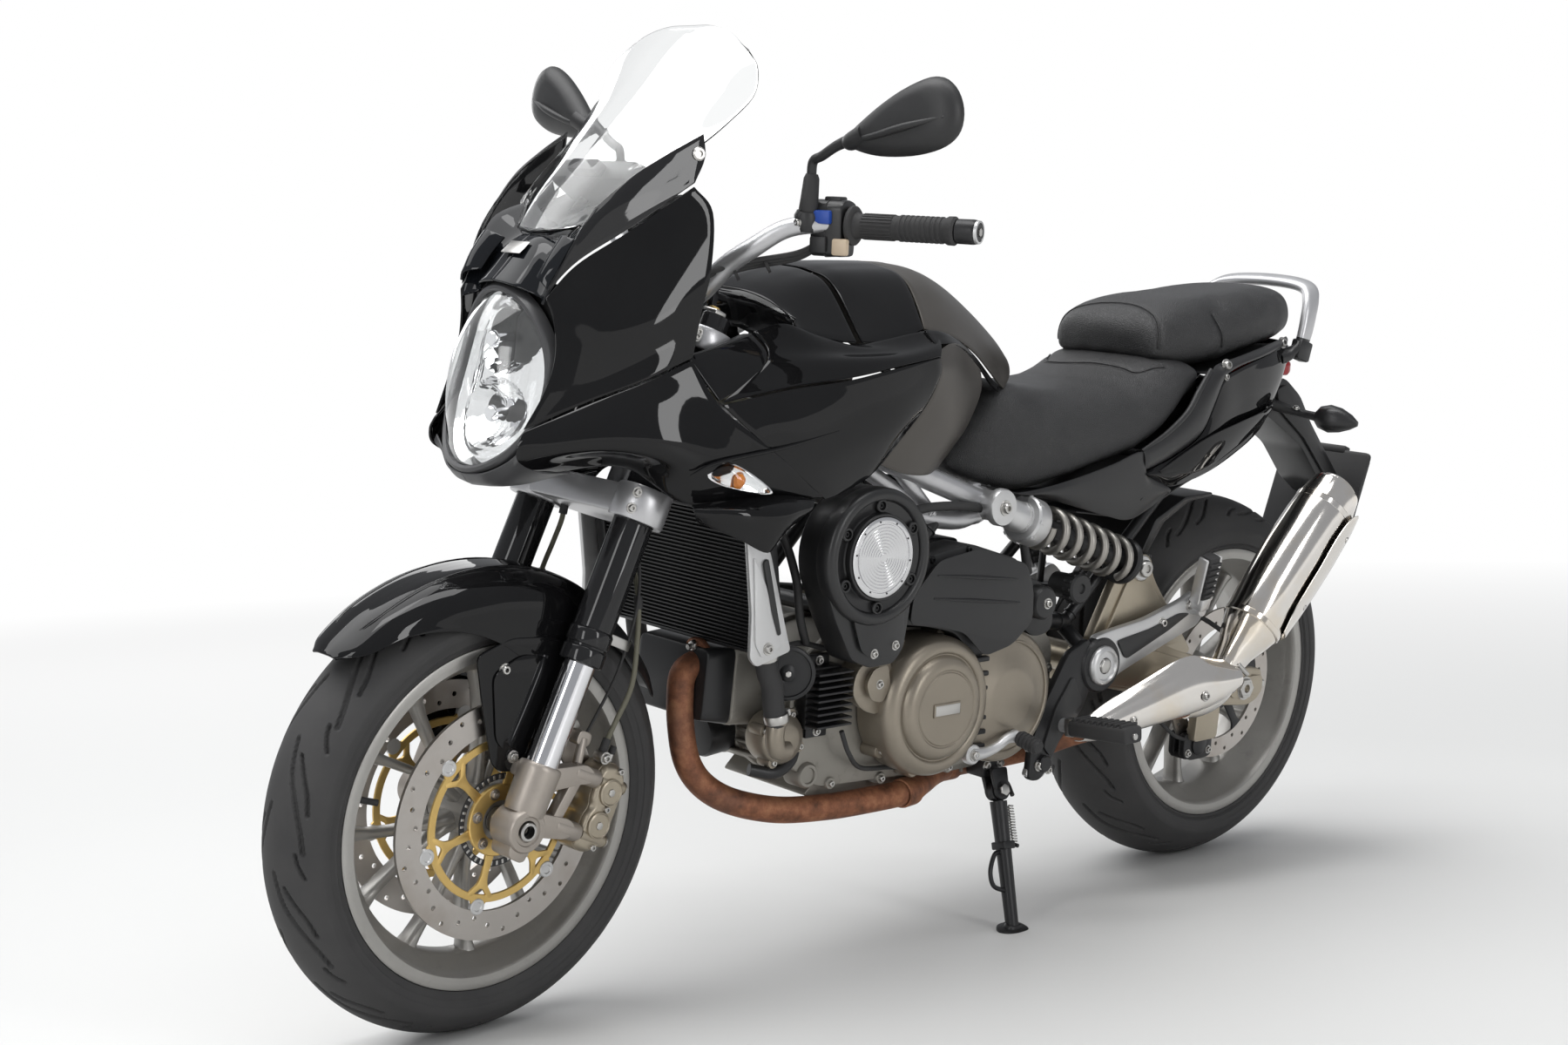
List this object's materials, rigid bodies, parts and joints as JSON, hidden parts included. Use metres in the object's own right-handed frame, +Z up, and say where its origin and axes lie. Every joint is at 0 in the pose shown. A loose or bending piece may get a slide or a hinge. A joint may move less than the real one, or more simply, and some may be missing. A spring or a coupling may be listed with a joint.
{
  "type": "sport touring motorcycle",
  "caption": "Sport touring motorcycle with half fairing, leaning on its side stand; steering, wheels, stand, storage lid and passenger seat move.",
  "frame": {"origin": "on the ground below the middle of the bounding box", "axes": "+X forward, +Y to the rider's left, +Z up"},
  "size_m": [2.1465, 0.8871, 1.3364],
  "materials": {
    "fork_feet": "satin cast",
    "fork_tubes": "gloss black with chrome stanchions",
    "fork_clamps": "satin cast",
    "front_axle": "bare",
    "handlebar": "satin grey",
    "hand_controls": "matte black",
    "mirrors": "matte black",
    "front_fender": "gloss black",
    "front_calipers": "champagne",
    "brake_hoses": "braided olive",
    "front_rim": "satin cast",
    "front_tyre": "matte",
    "front_discs": "machined with gold carriers",
    "frame": "silver",
    "engine_block": "cast",
    "transmission_covers": "bronze and black satin",
    "intake_drum": "satin black with bright disc",
    "radiator": "black with silver trims",
    "exhaust_pipes": "heat stained",
    "silencer": "polished",
    "swingarm": "champagne",
    "rear_axle": "bare",
    "rear_shock": "silver and grey",
    "nose_fairing": "gloss black",
    "side_fairings": "gloss black",
    "windscreen": "clear",
    "headlight": "clear lens with bright reflectors",
    "instrument_panel": "satin black",
    "storage_box": "satin bronze grey",
    "storage_lid": "gloss black",
    "rider_seat": "grained vinyl",
    "pillion_seat": "grained vinyl",
    "tail_cowl": "gloss black",
    "grab_rail": "satin",
    "plate_carrier": "matte black",
    "rear_lights": "red lens, black lamps",
    "footpegs": "cast with black inserts",
    "foot_controls": "black with rubber",
    "rear_caliper": "champagne",
    "drive_chain": "oiled",
    "horn_and_regulator": "black",
    "side_stand": "black",
    "stand_bracket": "black",
    "rear_rim": "satin cast",
    "rear_tyre": "matte",
    "rear_disc": "machined with gold carrier",
    "rear_sprocket": "steel"
  },
  "bodies": {
    "chassis": {"frame": "frame", "engine_block": "engine_block", "transmission_covers": "transmission_covers", "intake_drum": "intake_drum", "radiator": "radiator", "exhaust_pipes": "exhaust_pipes", "silencer": "silencer", "swingarm": "swingarm", "rear_axle": "rear_axle", "rear_shock": "rear_shock", "nose_fairing": "nose_fairing", "side_fairings": "side_fairings", "windscreen": "windscreen", "headlight": "headlight", "instrument_panel": "instrument_panel", "storage_box": "storage_box", "rider_seat": "rider_seat", "tail_cowl": "tail_cowl", "grab_rail": "grab_rail", "plate_carrier": "plate_carrier", "rear_lights": "rear_lights", "footpegs": "footpegs", "foot_controls": "foot_controls", "rear_caliper": "rear_caliper", "drive_chain": "drive_chain", "horn_and_regulator": "horn_and_regulator", "stand_bracket": "stand_bracket"},
    "steering": {"fork_feet": "fork_feet", "fork_tubes": "fork_tubes", "fork_clamps": "fork_clamps", "front_axle": "front_axle", "handlebar": "handlebar", "hand_controls": "hand_controls", "mirrors": "mirrors", "front_fender": "front_fender", "front_calipers": "front_calipers", "brake_hoses": "brake_hoses"},
    "front_wheel": {"front_rim": "front_rim", "front_tyre": "front_tyre", "front_discs": "front_discs"},
    "rear_wheel": {"rear_rim": "rear_rim", "rear_tyre": "rear_tyre", "rear_disc": "rear_disc", "rear_sprocket": "rear_sprocket"},
    "side_stand": {"side_stand": "side_stand"},
    "storage_lid": {"storage_lid": "storage_lid"},
    "pillion_seat": {"pillion_seat": "pillion_seat"}
  },
  "joints": [
    {"name": "steering_turn", "type": "hinge", "parent": "chassis", "child": "steering", "pos_m": [0.5208, -0.04824, 0.79492], "axis": [-0.4063, 0.1034, 0.9079], "range_deg": [-33.4, 26.6]},
    {"name": "front_wheel_spin", "type": "hinge", "parent": "steering", "child": "front_wheel", "pos_m": [0.7737, -0.10321, 0.29771], "axis": [-0.0542, 0.9891, -0.1369], "continuous": true},
    {"name": "rear_wheel_spin", "type": "hinge", "parent": "chassis", "child": "rear_wheel", "pos_m": [-0.68925, -0.10315, 0.31353], "axis": [-0.0001, 0.9936, -0.1132], "continuous": true},
    {"name": "stand_swing", "type": "hinge", "parent": "chassis", "child": "side_stand", "pos_m": [-0.1013, 0.01351, 0.20645], "axis": [0.0001, 0.9809, 0.1943], "range_deg": [0, 92]},
    {"name": "lid_open", "type": "hinge", "parent": "chassis", "child": "storage_lid", "pos_m": [0.26908, -0.02548, 0.99475], "axis": [-0.0001, 0.9936, -0.1132], "range_deg": [0, 32]},
    {"name": "pillion_seat_open", "type": "hinge", "parent": "chassis", "child": "pillion_seat", "pos_m": [-0.28499, -0.04235, 0.84698], "axis": [-0.0001, 0.9936, -0.1132], "range_deg": [0, 60]}
  ]
}
